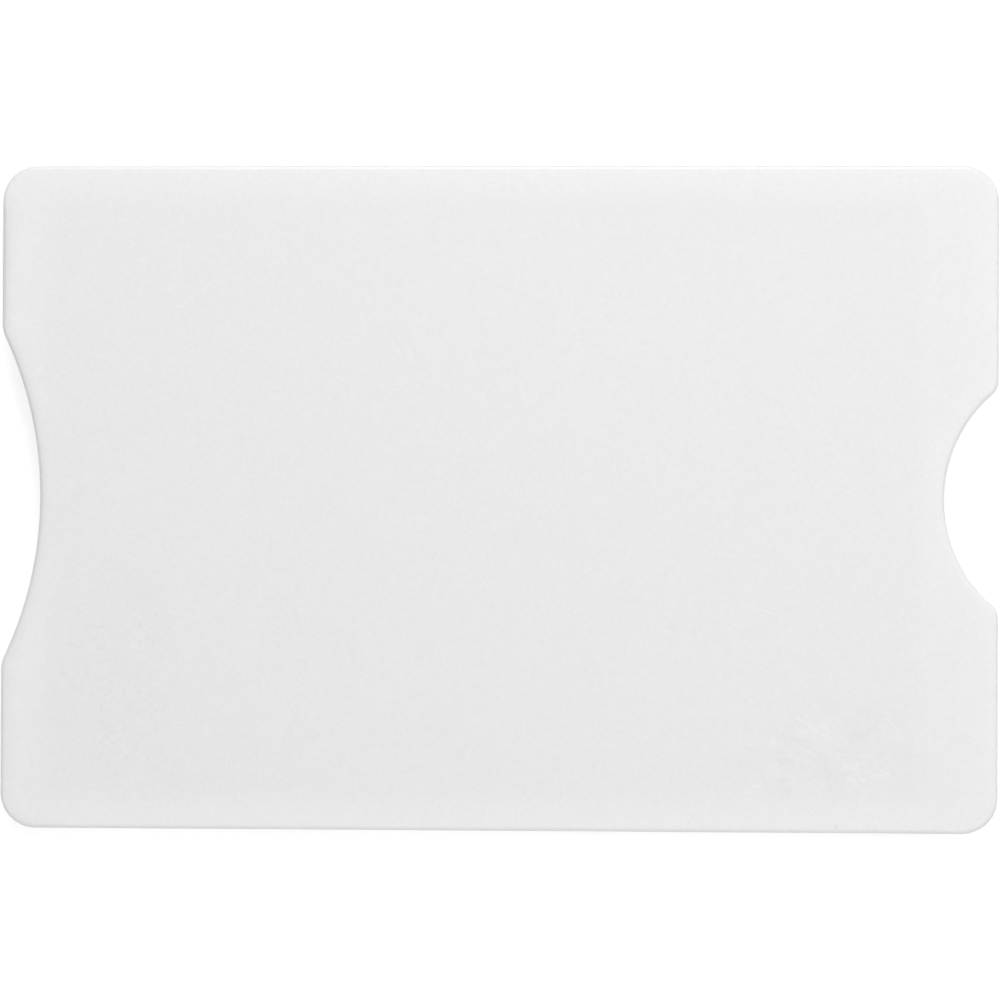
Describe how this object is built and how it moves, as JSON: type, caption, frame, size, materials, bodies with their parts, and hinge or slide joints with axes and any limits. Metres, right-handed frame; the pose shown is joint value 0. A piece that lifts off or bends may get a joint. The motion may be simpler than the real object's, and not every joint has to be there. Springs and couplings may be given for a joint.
{
  "type": "shielding card sleeve",
  "caption": "Rigid matt white plastic sleeve for a bank card, lined with shielding foil, with a wide shallow mouth at the open end and a round thumb notch at the closed end.",
  "frame": {"origin": "centre of the rear face, which the sleeve lies on", "axes": "+Z out of the front face, +X along the length from the open mouth to the thumb notch, +Y across the width"},
  "size_m": [0.09, 0.06, 0.004],
  "materials": {
    "shell_plastic": "matt white, slightly translucent, spark-eroded grain",
    "adhesive": "clear tacky acrylic film",
    "shield_foil": "satin rolled foil",
    "wear_film": "clear glossy polyester film"
  },
  "bodies": {
    "root": {"rear_shell": "shell_plastic", "front_shell": "shell_plastic", "rear_adhesive_film": "adhesive", "front_adhesive_film": "adhesive", "rear_shield_foil": "shield_foil", "front_shield_foil": "shield_foil", "rear_wear_film": "wear_film", "front_wear_film": "wear_film"}
  },
  "joints": []
}
